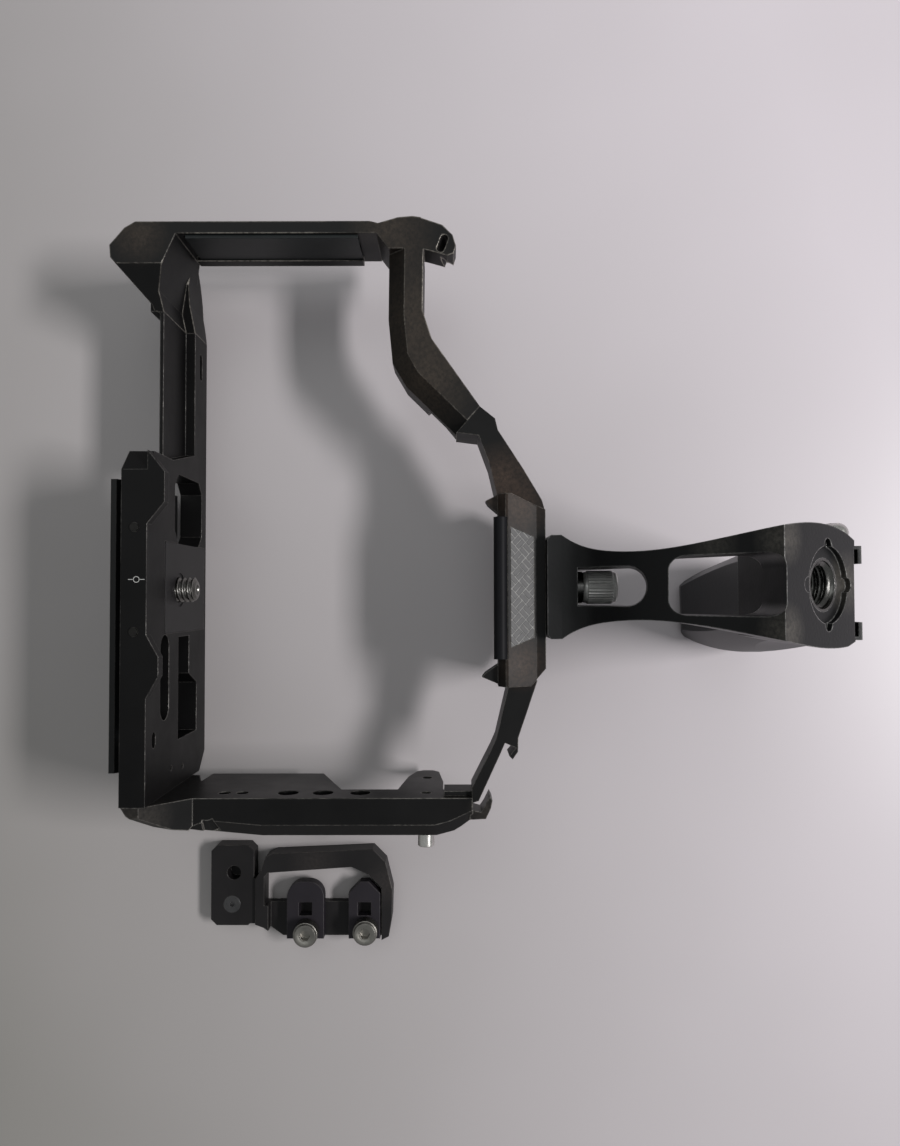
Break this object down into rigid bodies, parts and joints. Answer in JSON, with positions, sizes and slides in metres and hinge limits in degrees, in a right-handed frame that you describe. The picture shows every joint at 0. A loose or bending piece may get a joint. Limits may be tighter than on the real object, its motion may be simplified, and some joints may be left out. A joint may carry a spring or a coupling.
{
  "type": "camera cage",
  "caption": "Camera cage with base plate, side uprights, top bridge, lift-off top handle with captive thumbscrew, and a separate cable clamp with two jaws.",
  "frame": {"origin": "axis of the 1/4 inch camera screw where it leaves the camera seat of the base plate", "axes": "+Y up in use along the camera screw, +Z out of the lens side (up from the surface the cage lies on), +X towards the port side"},
  "size_m": [0.1865, 0.1698, 0.0815],
  "materials": {
    "black_anodised": "satin black anodised, worn at the edges",
    "handle_black": "fine-textured black, worn at the edges",
    "grip_cover": "leather-like grain",
    "seat_rubber": "matte",
    "bumper_rubber": "semi-gloss",
    "weave_plastic": "fine diagonal weave",
    "bright_steel": "bright",
    "dark_chrome": "ribbed dark chrome",
    "light_metal": "knurled, plain"
  },
  "bodies": {
    "cage": {"base_plate": "black_anodised", "camera_pad": "seat_rubber", "dovetail_foot": "black_anodised", "foot_screws": "bright_steel", "front_pins": "bright_steel", "grip_side_frame": "black_anodised", "grip_pad": "seat_rubber", "top_bridge": "black_anodised", "bridge_pad": "bumper_rubber", "weave_inlay": "weave_plastic", "port_side_wall": "black_anodised", "port_side_screw": "bright_steel", "frame_screws": "bright_steel", "clamp_frame": "black_anodised", "clamp_fixing_screw": "bright_steel"},
    "screw_ring": {"camera_screw_ring": "bright_steel"},
    "camera_screw_body": {"camera_screw": "bright_steel"},
    "handle": {"handle_body": "handle_black", "handle_grip": "grip_cover", "shoe_rails": "handle_black", "shoe_screws": "bright_steel", "front_thread_bush": "bright_steel", "handle_pins": "bright_steel", "handle_side_screw": "bright_steel"},
    "washer": {"knob_washer": "bright_steel"},
    "knob": {"handle_knob": "dark_chrome"},
    "jaw_lower": {"clamp_jaw_lower": "black_anodised"},
    "jaw_upper": {"clamp_jaw_upper": "black_anodised"},
    "thumbscrew_lower": {"clamp_thumbscrew_lower": "light_metal"},
    "thumbscrew_upper": {"clamp_thumbscrew_upper": "light_metal"}
  },
  "joints": [
    {"name": "camera_screw_drop", "type": "slide", "parent": "cage", "child": "screw_ring", "axis": [0, -1, 0], "range_m": [0, 0.00254]},
    {"name": "camera_screw_turn", "type": "hinge", "parent": "screw_ring", "child": "camera_screw_body", "pos_m": [0, -0.003, 0], "axis": [0, -1, 0], "range_deg": [0, 720]},
    {"name": "handle_lift", "type": "slide", "parent": "cage", "child": "handle", "axis": [0, 1, 0], "range_m": [0, 0.012]},
    {"name": "knob_rise", "type": "slide", "parent": "handle", "child": "washer", "axis": [0, 1, 0], "range_m": [0, 0.00381]},
    {"name": "knob_turn", "type": "hinge", "parent": "washer", "child": "knob", "pos_m": [-0.0004, 0.106, 0.008], "axis": [0, 1, 0], "range_deg": [0, 1080]},
    {"name": "jaw_lower_slide", "type": "slide", "parent": "cage", "child": "jaw_lower", "axis": [-1, 0, 0], "range_m": [0, 0.0016]},
    {"name": "jaw_upper_slide", "type": "slide", "parent": "cage", "child": "jaw_upper", "axis": [-1, 0, 0], "range_m": [0, 0.0016]},
    {"name": "thumbscrew_lower_turn", "type": "hinge", "parent": "cage", "child": "thumbscrew_lower", "pos_m": [0.0929, 0.0301, -0.015], "axis": [0, 0, 1], "range_deg": [0, 360]},
    {"name": "thumbscrew_upper_turn", "type": "hinge", "parent": "cage", "child": "thumbscrew_upper", "pos_m": [0.0924, 0.0462, -0.015], "axis": [0, 0, 1], "range_deg": [0, 360]}
  ],
  "couplings": [
    {"joint": "camera_screw_turn", "follows": "camera_screw_drop", "rad_per_m": 4947.4},
    {"joint": "knob_turn", "follows": "knob_rise", "rad_per_m": 4947.4}
  ]
}
